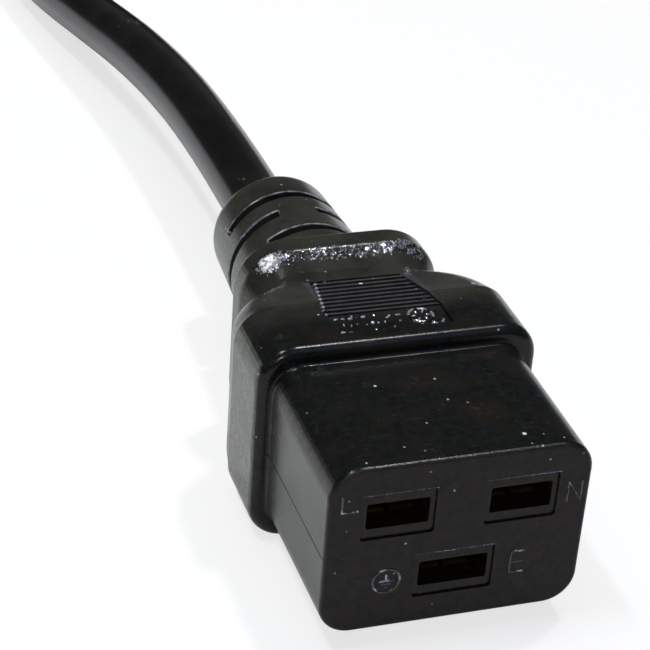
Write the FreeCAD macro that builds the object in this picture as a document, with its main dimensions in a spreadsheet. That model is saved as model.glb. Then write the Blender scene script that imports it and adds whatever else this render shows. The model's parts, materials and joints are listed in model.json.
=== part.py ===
import FreeCAD, Part
import math
import os

import Sketcher
from FreeCAD import Placement, Rotation, Vector

# A moulded C19 connector on its mains cord, with the matching C20 plug at the cord's far end.
# Row frame: the origin is the centre of the connector's mating face, +Y runs back along the
# cord, +X is the neutral side and +Z is up. Both mouldings lie on the plane z = -body_height / 2.
# The moulding of the plug is built in the same local frame, and is moved as a whole.

doc = FreeCAD.newDocument("CordSet")
sheet = doc.addObject("Spreadsheet::Sheet", "Sizes")

sizes = {
    # mating nose of the connector
    "nose_width": 28.0, "nose_height": 20.0, "nose_depth": 19.2, "nose_radius": 3.5, "nose_draft": 0.1,
    "nose_edge": 0.5, "nose_foot": 0.4, "seam_level": -0.6, "seam_width": 0.14, "seam_depth": 0.1,
    # flanged body, its shoulder, the waist behind it and the grip ring
    "body_width": 31.5, "body_height": 24.0, "body_radius": 4.2, "body_edge": 1.2,
    "shoulder_front": 28.4, "shoulder_radius": 7.8, "shoulder_fall": 0.2,
    "waist_end": 37.6, "waist_width": 21.4, "waist_height": 20.6, "waist_radius": 5.0,
    "ring_front": 40.2, "ring_back": 43.4, "ring_width": 23.6, "ring_height": 24.0, "ring_radius": 6.0,
    "ring_edge": 0.8, "ring_lip": 1.0,
    # slotted strain relief
    "relief_end": 68.0, "relief_base": 8.95, "relief_tip": 7.7, "relief_round": 2.6,
    "slot_floor": 5.6, "slot_width": 1.4, "slot_back": 60.8, "slot_middle": 56.4, "slot_front": 51.3,
    "slot_back_angle": 134.0, "slot_middle_angle": 149.0, "slot_front_angle": 76.0, "slot_edge": 0.25,
    # recessed panel on the shoulder, with fine ribs across it
    "panel_depth": 0.4, "panel_front": 21.6, "panel_width": 13.2, "panel_side": 0.4,
    "rib_count": 9.0, "rib_pitch": 1.0125, "rib_width": 0.42, "rib_height": 0.42, "rib_root": 0.3,
    "rib_first": 25.7, "rib_front_length": 13.0, "rib_back_length": 10.2, "rib_bed": 11.41, "rib_slope": 6.9,
    # contact layout, windows in the nose and the carrier's mouths
    "pole_offset": 6.55, "pole_height": 4.05, "earth_height": -3.95,
    "mouth_width": 6.6, "earth_mouth_width": 7.4, "mouth_height": 3.0, "mouth_radius": 0.25,
    "boss_rim": 0.6, "boss_height": 5.4, "boss_radius": 0.4, "boss_recess": 0.25, "wall": 1.3,
    # contact carrier and the cap behind it
    "carrier_width": 25.0, "carrier_height": 17.0, "carrier_radius": 2.2, "carrier_back": 24.0,
    "cap_back": 26.0, "chamber_height": 4.6, "chamber_front": 2.8,
    # spring contacts, folded from strip
    "strip": 0.5, "contact_width": 5.8, "flare_y": 3.2, "flare_z": 1.8, "pinch_y": 7.6, "pinch_z": 1.05,
    "spread_y": 12.5, "leaf_z": 1.6, "web_y": 17.6, "slit": 0.7, "slit_end": 14.0, "tongue_width": 2.4,
    "crimp_front": 19.4, "crimp_back": 23.2, "crimp_radius": 1.35,
    # cores and cord
    "core_radius": 1.45, "conductor_radius": 0.85, "core_front": 23.5, "lay_radius": 1.7,
    "core_bend": 29.0, "core_settle": 10.0, "core_bend_radius": 9.0, "sheath_front": 43.0,
    "cord_diameter": 8.2, "cord_start": 64.0,
    # plug: shroud, pin carrier and pins
    "cavity_width": 28.9, "cavity_height": 20.9, "cavity_radius": 3.9, "cavity_depth": 20.0,
    "insert_back": 27.0, "pin_width": 6.0, "pin_height": 2.0, "pin_tip": 4.0, "pin_chamfer": 0.6,
    "pin_back": 29.0, "pin_crimp_back": 33.0, "pin_core_bend": 37.0, "plug_sheath_front": 50.0,
    # hank of the put-away cord, its two ties, and the plug that lies in the hank
    "hank_x": 21.15, "hank_y": 273.9, "hank_straight": 112.0, "hank_turn": 24.6, "hank_round": 3.6,
    "tie_thickness": 0.5, "tie_width": 12.0, "plug_y": 206.6,
}
for row, (alias, value) in enumerate(sizes.items(), start=1):
    sheet.set(f"A{row}", alias)
    sheet.set(f"B{row}", str(value))
    sheet.setAlias(f"B{row}", alias)
doc.recompute()


def size(alias):
    return float(getattr(sheet, alias))


def cells(expression):
    """'nose_width / 2' as an expression on the sheet; words and signs are parted by spaces."""
    return " ".join(f"Sizes.{word}" if word in sizes else word for word in expression.split())


def value_of(expression):
    return float(sheet.evalExpression(cells(expression)))


# ------------------------------------------------------------------ sketches and features

def new_sketch(body, name, role, offset=None):
    """A sketch on one of the body's own planes, moved along the plane's normal if asked."""
    sketch = body.newObject("Sketcher::SketchObject", name)
    support = next(feature for feature in body.Origin.OriginFeatures if feature.Role == role)
    sketch.AttachmentSupport = [(support, "")]
    sketch.MapMode = "FlatFace"
    if offset is not None:
        sketch.setExpression("AttachmentOffset.Base.z", cells(offset))
    return sketch


def tipped_sketch(body, name, y, z, slope):
    """A sketch seen from above that falls towards +Y by a slope in degrees, from the point (y, z)."""
    sketch = new_sketch(body, name, "XY_Plane", z)
    sketch.AttachmentOffset = Placement(Vector(), Rotation(Vector(1, 0, 0), -1))
    sketch.setExpression("AttachmentOffset.Base.y", cells(y))
    sketch.setExpression("AttachmentOffset.Base.z", cells(z))
    sketch.setExpression("AttachmentOffset.Rotation.Angle", cells(slope))
    sketch.setExpression("AttachmentOffset.Rotation.Axis.x", "-1")
    return sketch


def bind(sketch, kind, places, name, expression):
    """A constraint whose value is an expression on the sheet."""
    index = sketch.addConstraint(Sketcher.Constraint(kind, *places, value_of(expression)))
    sketch.renameConstraint(index, name)
    sketch.setExpression(f"Constraints.{name}", cells(expression))


def add_polygon(sketch, corners, tag="p"):
    """A closed outline whose corners are pairs of expressions."""
    points = [Vector(value_of(x), value_of(y), 0) for x, y in corners]
    lines = []
    for index, point in enumerate(points):
        following = points[(index + 1) % len(points)]
        lines.append(sketch.addGeometry(Part.LineSegment(point, following), False))
    for index, line in enumerate(lines):
        following = lines[(index + 1) % len(lines)]
        sketch.addConstraint(Sketcher.Constraint("Coincident", line, 2, following, 1))
    for index, (x, y) in enumerate(corners):
        bind(sketch, "DistanceX", (-1, 1, lines[index], 1), f"{tag}x{index}", x)
        bind(sketch, "DistanceY", (-1, 1, lines[index], 1), f"{tag}y{index}", y)


def add_rounded(sketch, width, height, radius, centre=("0", "0"), tag="r"):
    """A rectangle with rounded corners about a centre; every size is an expression."""
    middle_x, middle_y, corner = (value_of(e) for e in (*centre, radius))
    reach_x = value_of(width) / 2 - corner
    reach_y = value_of(height) / 2 - corner
    arcs = []
    for side_x, side_y, start in ((-1, -1, 180), (1, -1, 270), (1, 1, 0), (-1, 1, 90)):
        middle = Vector(middle_x + side_x * reach_x, middle_y + side_y * reach_y, 0)
        circle = Part.Circle(middle, Vector(0, 0, 1), corner)
        ends = math.radians(start), math.radians(start + 90)
        arcs.append(sketch.addGeometry(Part.ArcOfCircle(circle, *ends), False))
    sides = []
    for index, arc in enumerate(arcs):
        following = arcs[(index + 1) % 4]
        ends = sketch.getPoint(arc, 2), sketch.getPoint(following, 1)
        sides.append(sketch.addGeometry(Part.LineSegment(*ends), False))
        sketch.addConstraint(Sketcher.Constraint("Tangent", arc, 2, sides[-1], 1))
        sketch.addConstraint(Sketcher.Constraint("Tangent", sides[-1], 2, following, 1))
        level = "Horizontal" if index % 2 == 0 else "Vertical"
        sketch.addConstraint(Sketcher.Constraint(level, sides[-1]))
    for arc in arcs[1:]:
        sketch.addConstraint(Sketcher.Constraint("Equal", arcs[0], arc))
    bottom, right, top, left = sides
    bind(sketch, "Radius", (arcs[0],), f"{tag}radius", radius)
    bind(sketch, "DistanceX", (left, 1, right, 1), f"{tag}width", width)
    bind(sketch, "DistanceY", (bottom, 1, top, 1), f"{tag}height", height)
    bind(sketch, "DistanceX", (-1, 1, left, 1), f"{tag}left", f"{centre[0]} - ( {width} ) / 2")
    bind(sketch, "DistanceY", (-1, 1, bottom, 1), f"{tag}low", f"{centre[1]} - ( {height} ) / 2")


def add_circle(sketch, radius, centre=("0", "0"), tag="c"):
    middle = Vector(value_of(centre[0]), value_of(centre[1]), 0)
    circle = sketch.addGeometry(Part.Circle(middle, Vector(0, 0, 1), value_of(radius)), False)
    bind(sketch, "Radius", (circle,), f"{tag}radius", radius)
    bind(sketch, "DistanceX", (-1, 1, circle, 3), f"{tag}x", centre[0])
    bind(sketch, "DistanceY", (-1, 1, circle, 3), f"{tag}y", centre[1])


def section(body, name, y):
    """A sketch across the body at a distance y behind its mating face."""
    return new_sketch(body, name, "XZ_Plane", f"0 - ( {y} )")


def grow(body, sketch, name, length, midplane=False, backward=True):
    """Pad a sketch; a section grows towards +Y unless told otherwise."""
    pad = body.newObject("PartDesign::Pad", name)
    pad.Profile = sketch
    pad.Midplane = midplane
    pad.Reversed = backward and not midplane
    pad.setExpression("Length", cells(length))
    return pad


def cut(body, sketch, name, length, midplane=False, forward=False):
    """Pocket a sketch, towards +Y for a section unless told otherwise; it has to remove material."""
    doc.recompute()
    before = body.Shape.Volume
    pocket = body.newObject("PartDesign::Pocket", name)
    pocket.Profile = sketch
    pocket.Midplane = midplane
    pocket.Reversed = forward
    pocket.setExpression("Length", cells(length))
    doc.recompute()
    if body.Shape.Volume > before - 1e-3:
        raise RuntimeError(f"{name} removes nothing")
    return pocket


def block(body, name, front, back, width, height, radius, centre=("0", "0")):
    sketch = section(body, f"{name}Outline", front)
    add_rounded(sketch, width, height, radius, centre)
    return grow(body, sketch, name, f"{back} - ( {front} )")


def recess(body, name, front, back, width, height, radius, centre=("0", "0")):
    sketch = section(body, f"{name}Outline", front)
    add_rounded(sketch, width, height, radius, centre)
    return cut(body, sketch, name, f"{back} - ( {front} )")


def loft(body, name, sections, ruled):
    """Sections are (y, width, height, radius) expressions, from front to back."""
    sketches = []
    for index, (y, width, height, radius) in enumerate(sections):
        sketch = section(body, f"{name}Section{index}", y)
        add_rounded(sketch, width, height, radius)
        sketches.append(sketch)
    feature = body.newObject("PartDesign::AdditiveLoft", name)
    feature.Profile = sketches[0]
    feature.Sections = sketches[1:]
    feature.Ruled = ruled
    return feature


def round_edges(body, base, name, y, radius, within=None, outside=None):
    """Fillet every edge of the last feature in the plane y, or those whose distance from the
    body's axis stays within one limit or outside another."""
    doc.recompute()
    level = value_of(y)
    edges = []
    for index, edge in enumerate(base.Shape.Edges, start=1):
        in_plane = abs(edge.BoundBox.YMin - level) < 1e-4 and abs(edge.BoundBox.YMax - level) < 1e-4
        reach = math.hypot(edge.CenterOfMass.x, edge.CenterOfMass.z)
        radius_there = getattr(edge.Curve, "Radius", reach)
        near = within is None or max(abs(edge.BoundBox.XMax), abs(edge.BoundBox.XMin)) < value_of(within)
        far = outside is None or radius_there > value_of(outside)
        if in_plane and near and far:
            edges.append(f"Edge{index}")
    fillet = body.newObject("PartDesign::Fillet", name)
    fillet.Base = (base, edges)
    fillet.setExpression("Radius", cells(radius))
    return fillet


def stand(obj, in_plug=False, x="0", z="0"):
    """Move a piece from its local frame to its place, in the connector or in the plug."""
    obj.setExpression("Placement.Base.x", cells(f"{x} + hank_x" if in_plug else x))
    obj.setExpression("Placement.Base.y", cells("plug_y" if in_plug else "0"))
    obj.setExpression("Placement.Base.z", cells(z))
    return obj


poles = {
    "live": ("0 - pole_offset", "pole_height"),
    "neutral": ("pole_offset", "pole_height"),
    "earth": ("0", "earth_height"),
}
mouth_widths = {"live": "mouth_width", "neutral": "mouth_width", "earth": "earth_mouth_width"}
boss_widths = {name: f"{width} + 2 * boss_rim" for name, width in mouth_widths.items()}
plug_poles = {  # the plug faces the connector when mated, so live and neutral change sides
    "live": poles["neutral"],
    "neutral": poles["live"],
    "earth": poles["earth"],
}


# ------------------------------------------------------------------ overmoulded bodies

def add_shoulder(body):
    """In plan the sides turn in on an arc, while top and bottom fall gently to the waist."""
    sections = []
    for degrees in (0, 25, 45, 62):
        along = f"shoulder_radius * {math.sin(math.radians(degrees)):.4f}"
        inset = f"shoulder_radius * {1 - math.cos(math.radians(degrees)):.4f}"
        width = f"body_width - 2 * {inset}"
        height = f"body_height - 2 * shoulder_fall * {along}"
        sections.append((f"shoulder_front + {along}", width, height, "body_radius"))
    sections.append(("waist_end", "waist_width", "waist_height", "waist_radius"))
    loft(body, "Shoulder", sections, False)


def add_grip_ring(body):
    loft(body, "RingRamp", [
        ("waist_end", "waist_width", "waist_height", "waist_radius"),
        ("ring_front", "ring_width", "ring_height", "ring_radius"),
    ], True)
    ring = block(body, "GripRing", "ring_front", "ring_back", "ring_width", "ring_height", "ring_radius")
    back_round = round_edges(body, ring, "RingBackRound", "ring_back", "ring_edge")
    round_edges(body, back_round, "RingLip", "ring_front", "ring_lip")


def add_strain_relief(body):
    """A tapered sleeve with staggered slots, so that it bends with the cord."""
    profile = new_sketch(body, "ReliefProfile", "XY_Plane")
    add_polygon(profile, [
        ("0", "ring_front"), ("relief_base", "ring_front"), ("relief_base", "ring_back"),
        ("relief_tip", "relief_end"), ("0", "relief_end"),
    ])
    sleeve = body.newObject("PartDesign::Revolution", "ReliefSleeve")
    sleeve.Profile = profile
    sleeve.ReferenceAxis = (profile, ["V_Axis"])
    sleeve.Angle = 360
    round_edges(body, sleeve, "ReliefRound", "relief_end", "relief_round")
    rows = (("slot_back", "top"), ("slot_middle", "side"), ("slot_front", "top"))
    for place, where in rows:
        on_top = where == "top"
        sketch = new_sketch(body, f"{place}_sketch", "YZ_Plane" if on_top else "XY_Plane")
        for tag, side in (("a", ""), ("b", "0 - ")):
            inner, outer = f"{side}slot_floor", f"{side}( relief_base + 1 )"
            near, far = f"{place} - slot_width / 2", f"{place} + slot_width / 2"
            corners = [(near, inner), (far, inner), (far, outer), (near, outer)]
            add_polygon(sketch, corners if on_top else [(b, a) for a, b in corners], tag)
        groove = body.newObject("PartDesign::Groove", place)
        groove.Profile = sketch
        groove.ReferenceAxis = (sketch, ["H_Axis" if on_top else "V_Axis"])
        groove.Midplane = True
        groove.setExpression("Angle", cells(f"{place}_angle"))
        rounded = groove
        for edge, y in (("Front", f"{place} - slot_width / 2"), ("Back", f"{place} + slot_width / 2")):
            rounded = round_edges(body, rounded, f"{place}{edge}", y, "slot_edge", outside="slot_floor + 0.5")


def add_sheath_bore(body, front):
    sketch = section(body, "SheathBoreOutline", "relief_end")
    add_circle(sketch, "cord_diameter / 2")
    cut(body, sketch, "SheathBore", f"relief_end - {front}", forward=True)


def add_ribbed_panel(body):
    """A shallow recess on top of the body; behind it a sloping bed is filled with fine ribs.

    The ribs stand free at their left ends and run into the bed's right side.
    """
    half = "panel_width / 2"
    panel = new_sketch(body, "PanelOutline", "XY_Plane", "body_height / 2 - panel_depth")
    add_polygon(panel, [
        (f"0 - {half}", "panel_front"), (half, "panel_front"),
        (half, "rib_first + panel_side"), (f"0 - {half}", "rib_first + panel_side"),
    ])
    cut(body, panel, "Panel", "1 + panel_depth", forward=True)
    bed = tipped_sketch(body, "RibBedOutline", "rib_first", "rib_bed", "rib_slope")
    front, back = "rib_front_length / 2", "rib_back_length / 2"
    add_polygon(bed, [
        (f"0 - {front} - panel_side", "0"), (front, "0"),
        (back, "rib_pitch * rib_count"), (f"0 - {back} - panel_side", "rib_pitch * rib_count"),
    ])
    cut(body, bed, "RibBed", "1 + panel_depth", forward=True)
    outline = tipped_sketch(body, "RibOutline", "rib_first", "rib_bed - rib_root", "rib_slope")
    for index in range(int(size("rib_count"))):
        share = index / (size("rib_count") - 1)
        reach = f"( rib_front_length + ( rib_back_length - rib_front_length ) * {share:.4f} ) / 2"
        near = f"rib_pitch * {index}"
        far = f"{near} + rib_width"
        into_wall = f"{reach} + panel_side"
        add_polygon(outline, [(f"0 - {reach}", near), (into_wall, near), (into_wall, far), (f"0 - {reach}", far)],
                    f"n{index}_")
    grow(body, outline, "Ribs", "rib_root + rib_height", backward=False)


def add_mould_seam(body):
    """The fine line along both sides of the nose where the halves of the mould met."""
    outline = section(body, "SeamOutline", "nose_edge")
    low, high = "seam_level - seam_width / 2", "seam_level + seam_width / 2"
    for tag, side in (("l", "-1"), ("r", "1")):
        inner, outer = (f"{side} * ( nose_width / 2 {step} )" for step in ("- seam_depth", "+ 0.5"))
        add_polygon(outline, [(inner, low), (outer, low), (outer, high), (inner, high)], tag)
    cut(body, outline, "Seam", "nose_depth - nose_edge")


def moulded_body(name, front):
    """Flange, shoulder, waist, grip ring and strain relief, starting at the plane y = front."""
    body = doc.addObject("PartDesign::Body", name)
    flange = block(body, "Flange", front, "shoulder_front", "body_width", "body_height", "body_radius")
    round_edges(body, flange, "FlangeRound", front, "body_edge")
    add_shoulder(body)
    add_grip_ring(body)
    add_strain_relief(body)
    return body


def connector_moulding():
    body = moulded_body("ConnectorMoulding", "nose_depth")
    nose = loft(body, "Nose", [
        ("0", "nose_width", "nose_height", "nose_radius"),
        ("nose_depth", "nose_width + 2 * nose_draft", "nose_height + 2 * nose_draft", "nose_radius"),
    ], True)
    front_round = round_edges(body, nose, "NoseRound", "0", "nose_edge")
    round_edges(body, front_round, "NoseFoot", "nose_depth", "nose_foot", within="nose_width / 2 + nose_foot")
    add_mould_seam(body)
    add_ribbed_panel(body)
    add_sheath_bore(body, "sheath_front")
    recess(body, "CarrierSeat", "wall", "cap_back", "carrier_width", "carrier_height", "carrier_radius")
    for name, centre in poles.items():
        recess(body, f"Window_{name}", "0", "wall", boss_widths[name], "boss_height", "boss_radius", centre)
    return body


def plug_moulding():
    body = moulded_body("PlugMoulding", "0")
    add_sheath_bore(body, "plug_sheath_front")
    recess(body, "Cavity", "0", "cavity_depth", "cavity_width", "cavity_height", "cavity_radius")
    recess(body, "InsertSeat", "cavity_depth", "insert_back", "carrier_width", "carrier_height", "carrier_radius")
    return body


# ------------------------------------------------------------------ inner parts of the connector

def add_crimp_barrel(body, front, back):
    barrel = section(body, "BarrelOutline", front)
    add_circle(barrel, "crimp_radius")
    grow(body, barrel, "Barrel", f"{back} - {front}")
    bore = section(body, "BarrelBoreOutline", front)
    add_circle(bore, "conductor_radius")
    cut(body, bore, "BarrelBore", f"{back} - {front}")


def contact_carrier():
    """The hard block that holds the contacts; its three raised mouths fill the windows."""
    body = doc.addObject("PartDesign::Body", "ContactCarrier")
    block(body, "Block", "wall", "carrier_back", "carrier_width", "carrier_height", "carrier_radius")
    for name, centre in poles.items():
        block(body, f"Boss_{name}", "boss_recess", "wall", boss_widths[name], "boss_height", "boss_radius",
              centre)
    for name, centre in poles.items():
        width = mouth_widths[name]
        recess(body, f"Mouth_{name}", "boss_recess", "chamber_front", width, "mouth_height", "mouth_radius",
               centre)
        recess(body, f"Chamber_{name}", "chamber_front", "carrier_back", width, "chamber_height",
               "boss_radius", centre)
    return body


def carrier_cap():
    """The plate that closes the chambers from behind, with a hole for each core."""
    body = doc.addObject("PartDesign::Body", "CarrierCap")
    block(body, "Plate", "carrier_back", "cap_back", "carrier_width", "carrier_height", "carrier_radius")
    holes = section(body, "HoleOutline", "carrier_back")
    for name, centre in poles.items():
        add_circle(holes, "core_radius", centre, name)
    cut(body, holes, "Holes", "cap_back - carrier_back")
    return body


def spring_contact(name):
    """Two sprung leaves that pinch the pin, joined by a web, with a crimp barrel behind it."""
    x, z = poles[name]
    body = doc.addObject("PartDesign::Body", f"Contact_{name}")
    line = [("flare_y", "flare_z"), ("pinch_y", "pinch_z"), ("spread_y", "leaf_z"), ("web_y", "leaf_z")]
    for tag, side in (("Upper", "1"), ("Lower", "-1")):
        leaf = new_sketch(body, f"{tag}LeafOutline", "YZ_Plane")
        outer = [(along, f"{side} * ( {up} + strip / 2 )") for along, up in line]
        inner = [(along, f"{side} * ( {up} - strip / 2 )") for along, up in reversed(line)]
        add_polygon(leaf, outer + inner)
        grow(body, leaf, f"{tag}Leaf", "contact_width", midplane=True)
    slit = new_sketch(body, "SlitOutline", "XY_Plane")
    add_polygon(slit, [
        ("0 - slit / 2", "0"), ("slit / 2", "0"), ("slit / 2", "slit_end"), ("0 - slit / 2", "slit_end"),
    ])
    cut(body, slit, "Slit", "chamber_height", midplane=True)
    block(body, "Web", "web_y", "web_y + strip", mouth_widths[name], "chamber_height", "boss_radius")
    block(body, "Tongue", "web_y + strip", "crimp_front + strip", "tongue_width", "strip", "strip / 4",
          ("0", "0 - crimp_radius + strip / 2"))
    add_crimp_barrel(body, "crimp_front", "crimp_back")
    return stand(body, x=x, z=z)


# ------------------------------------------------------------------ wires along a route

def route_wire(points, bend=None):
    """Straight runs joined by tangent arcs of radius bend, or as large as their two runs allow."""
    corners = [Vector(*point) for point in points]
    edges, radii, start = [], [], corners[0]
    for before, corner, after in zip(corners, corners[1:], corners[2:]):
        towards, onward = (corner - before).normalize(), (after - corner).normalize()
        turn = towards.getAngle(onward)
        shorter = min((corner - before).Length, (after - corner).Length)
        reach = bend * math.tan(turn / 2) if bend else 0.45 * shorter
        radius = reach / math.tan(turn / 2)
        first, last = corner - towards * reach, corner + onward * reach
        inward = (onward - towards).normalize()
        middle = corner + inward * (radius / math.cos(turn / 2) - radius)
        edges += [Part.LineSegment(start, first).toShape(), Part.Arc(first, middle, last).toShape()]
        radii.append(radius)
        start = last
    edges.append(Part.LineSegment(start, corners[-1]).toShape())
    return Part.Wire(edges), radii


def round_tube(wire, radius):
    """A solid round tube along a wire; its volume has to be its section times its length."""
    start, direction = wire.Edges[0].valueAt(0), wire.Edges[0].tangentAt(0)
    disc = Part.Wire(Part.makeCircle(radius, start, direction))
    tube = wire.makePipeShell([disc], True, False)
    share = tube.Volume / (math.pi * radius ** 2 * wire.Length)
    if abs(share - 1) > 0.01:
        raise RuntimeError(f"a tube has {share:.3f} of its volume")
    return tube


def feature(name, shape):
    obj = doc.addObject("Part::Feature", name)
    obj.Shape = shape
    return obj


def core_route(place, lay_degrees, front, bend, settle):
    """From a crimp straight back, then in to the core's place in the lay of the sheath."""
    x, z = (value_of(e) for e in place)
    lay = math.radians(lay_degrees)
    lay_x, lay_z = size("lay_radius") * math.cos(lay), size("lay_radius") * math.sin(lay)
    return [(x, front, z), (x, bend, z), (lay_x, settle, lay_z), (lay_x, size("cord_start"), lay_z)]


def core(node, in_plug, place, lay_degrees, conductor_front, core_front, bend, settle):
    """One core: stranded copper, taken as a rod, inside its insulation."""
    radius = size("core_bend_radius")
    copper, _ = route_wire(core_route(place, lay_degrees, conductor_front, bend, settle), radius)
    cover, _ = route_wire(core_route(place, lay_degrees, core_front, bend, settle), radius)
    conductor = stand(feature(f"Conductor_{node}", round_tube(copper, size("conductor_radius"))), in_plug)
    envelope = stand(feature(f"Envelope_{node}", round_tube(cover, size("core_radius"))), in_plug)
    insulation = doc.addObject("Part::Cut", f"Insulation_{node}")
    insulation.Base = envelope
    insulation.Tool = conductor
    return conductor, envelope, insulation


def sheath_end(name, front, bores):
    """The end of the cord's sheath, with the cores running through it."""
    body = doc.addObject("PartDesign::Body", name)
    outline = section(body, "SheathOutline", front)
    add_circle(outline, "cord_diameter / 2")
    grow(body, outline, "Sheath", f"cord_start - {front}")
    holes = section(body, "CoreHoleOutline", front)
    for pole, degrees in bores.items():
        centre = [f"lay_radius * {f(math.radians(degrees)):.5f}" for f in (math.cos, math.sin)]
        add_circle(holes, "core_radius", centre, pole)
    cut(body, holes, "CoreHoles", f"cord_start - {front}")
    return body


def without(name, base, tools):
    """A moulding less what it was moulded around."""
    inserts = doc.addObject("Part::MultiFuse", f"{name}Inserts")
    inserts.Shapes = tools
    result = doc.addObject("Part::Cut", name)
    result.Base = base
    result.Tool = inserts
    return result


# ------------------------------------------------------------------ plug pins

def pin_carrier():
    body = doc.addObject("PartDesign::Body", "PinCarrier")
    block(body, "Block", "cavity_depth", "insert_back", "carrier_width", "carrier_height", "carrier_radius")
    for name, centre in plug_poles.items():
        recess(body, f"Slot_{name}", "cavity_depth", "insert_back", "pin_width", "pin_height",
               "boss_radius", centre)
    return body


def flat_pin(name):
    """A flat blade with a bevelled tip and a crimp barrel behind the carrier."""
    x, z = plug_poles[name]
    body = doc.addObject("PartDesign::Body", f"Pin_{name}")
    block(body, "Blade", "pin_tip", "pin_back", "pin_width", "pin_height", "boss_radius")
    tip = new_sketch(body, "TipOutline", "YZ_Plane")
    for tag, side in (("u", "1"), ("d", "-1")):
        half = "pin_height / 2"
        add_polygon(tip, [
            ("pin_tip - 1", f"{side} * ( {half} + 1 )"), ("pin_tip - 1", f"{side} * ( {half} - pin_chamfer )"),
            ("pin_tip", f"{side} * ( {half} - pin_chamfer )"),
            ("pin_tip + 2 * pin_chamfer", f"{side} * {half}"),
            ("pin_tip + 2 * pin_chamfer", f"{side} * ( {half} + 1 )"),
        ], tag)
    cut(body, tip, "TipBevel", "pin_width + 2", midplane=True)
    add_crimp_barrel(body, "pin_back", "pin_crimp_back")
    return stand(body, True, x, z)


# ------------------------------------------------------------------ hank and its ties

def add_stadium(sketch, turn, tag):
    """A slot-shaped outline round the hank's centre: two runs along Y and two half turns."""
    centre_x, centre_y, straight = (size(a) for a in ("hank_x", "hank_y", "hank_straight"))
    radius = value_of(turn)
    ends, runs = [], []
    for side, start in ((1, 0), (-1, 180)):
        circle = Part.Circle(Vector(centre_x, centre_y + side * straight / 2, 0), Vector(0, 0, 1), radius)
        angles = math.radians(start), math.radians(start + 180)
        ends.append(sketch.addGeometry(Part.ArcOfCircle(circle, *angles), False))
    for first, last in ((0, 1), (1, 0)):
        corners = sketch.getPoint(ends[first], 2), sketch.getPoint(ends[last], 1)
        runs.append(sketch.addGeometry(Part.LineSegment(*corners), False))
        sketch.addConstraint(Sketcher.Constraint("Tangent", ends[first], 2, runs[-1], 1))
        sketch.addConstraint(Sketcher.Constraint("Tangent", runs[-1], 2, ends[last], 1))
    sketch.addConstraint(Sketcher.Constraint("Vertical", runs[0]))
    bind(sketch, "Radius", (ends[0],), f"{tag}radius", turn)
    bind(sketch, "DistanceX", (-1, 1, ends[0], 3), f"{tag}x", "hank_x")
    bind(sketch, "DistanceY", (-1, 1, ends[0], 3), f"{tag}y", "hank_y + hank_straight / 2")
    bind(sketch, "DistanceY", (ends[1], 3, ends[0], 3), f"{tag}run", "hank_straight")


def cord_hank():
    """The outer shape of the folded cord: two turns side by side and two high."""
    body = doc.addObject("PartDesign::Body", "CordHank")
    outline = new_sketch(body, "HankOutline", "XY_Plane", "tie_thickness - body_height / 2")
    add_stadium(outline, "hank_turn + 3 * cord_diameter / 2", "outer_")
    add_stadium(outline, "hank_turn - cord_diameter / 2", "inner_")
    ring = grow(body, outline, "Hank", "2 * cord_diameter", backward=False)
    doc.recompute()
    rounds = body.newObject("PartDesign::Fillet", "HankRounds")
    flat = [f"Edge{i}" for i, e in enumerate(ring.Shape.Edges, start=1) if e.BoundBox.ZLength < 1e-4]
    rounds.Base = (ring, flat)
    rounds.setExpression("Radius", "Sizes.hank_round")
    return body


def hank_tie(name, side):
    """A strap round the four strands of one run."""
    body = doc.addObject("PartDesign::Body", name)
    bundle = "2 * cord_diameter"
    centre = f"{side} * ( hank_turn + cord_diameter / 2 )", "0"
    front, back = "0 - tie_width / 2", "tie_width / 2"
    block(body, "Strap", front, back, f"{bundle} + 2 * tie_thickness", f"{bundle} + 2 * tie_thickness",
          "hank_round + tie_thickness", centre)
    recess(body, "StrapBore", front, back, bundle, bundle, "hank_round", centre)
    body.setExpression("Placement.Base.x", "Sizes.hank_x")
    body.setExpression("Placement.Base.y", "Sizes.hank_y")
    body.setExpression("Placement.Base.z", cells("tie_thickness + cord_diameter - body_height / 2"))
    return body


# ------------------------------------------------------------------ cord routes

strand_z = size("tie_thickness") + size("cord_diameter") / 2 - size("body_height") / 2
plug_axis_x = size("hank_x")

# Straight out of the strain relief, sinking to the floor and swinging onto the hank's left run.
cord_route = [
    (0, 64, 0), (0, 79, 0), (-0.3, 96, -0.2), (-1.1, 113, -0.9), (-2.9, 130, -2.1), (-5.8, 147, -3.7),
    (-8.7, 164, -5.4), (-10.7, 181, -6.7), (-11.5, 199, -7.3), (-11.65, 217, strand_z),
]
# From the plug's strain relief in a gentle S onto the hank's right inner run.
tail_route = [
    (plug_axis_x, 270.6, 0), (plug_axis_x, 284.6, 0), (plug_axis_x + 6.4, 298.5, -2.2),
    (plug_axis_x + 18.2, 308.3, -4.9), (plug_axis_x + 24.6, 322.2, -6.9), (plug_axis_x + 24.6, 336, strand_z),
]


def cord_tube(name, route, hank):
    """A tube along a route, ending where it runs into the hank."""
    wire, radii = route_wire(route)
    print(name, "length", round(wire.Length, 1), "radii", [round(radius) for radius in radii])
    sweep = feature(f"{name}Sweep", round_tube(wire, size("cord_diameter") / 2))
    tube = doc.addObject("Part::Cut", name)
    tube.Base = sweep
    tube.Tool = hank
    return tube


# ------------------------------------------------------------------ the whole set

kept = {}


def keep(node, obj):
    obj.Label = node
    kept[node] = obj
    return obj


lay_degrees = {"live": 150, "neutral": 30, "earth": 270}
plug_lay_degrees = {"live": 30, "neutral": 150, "earth": 270}

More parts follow.
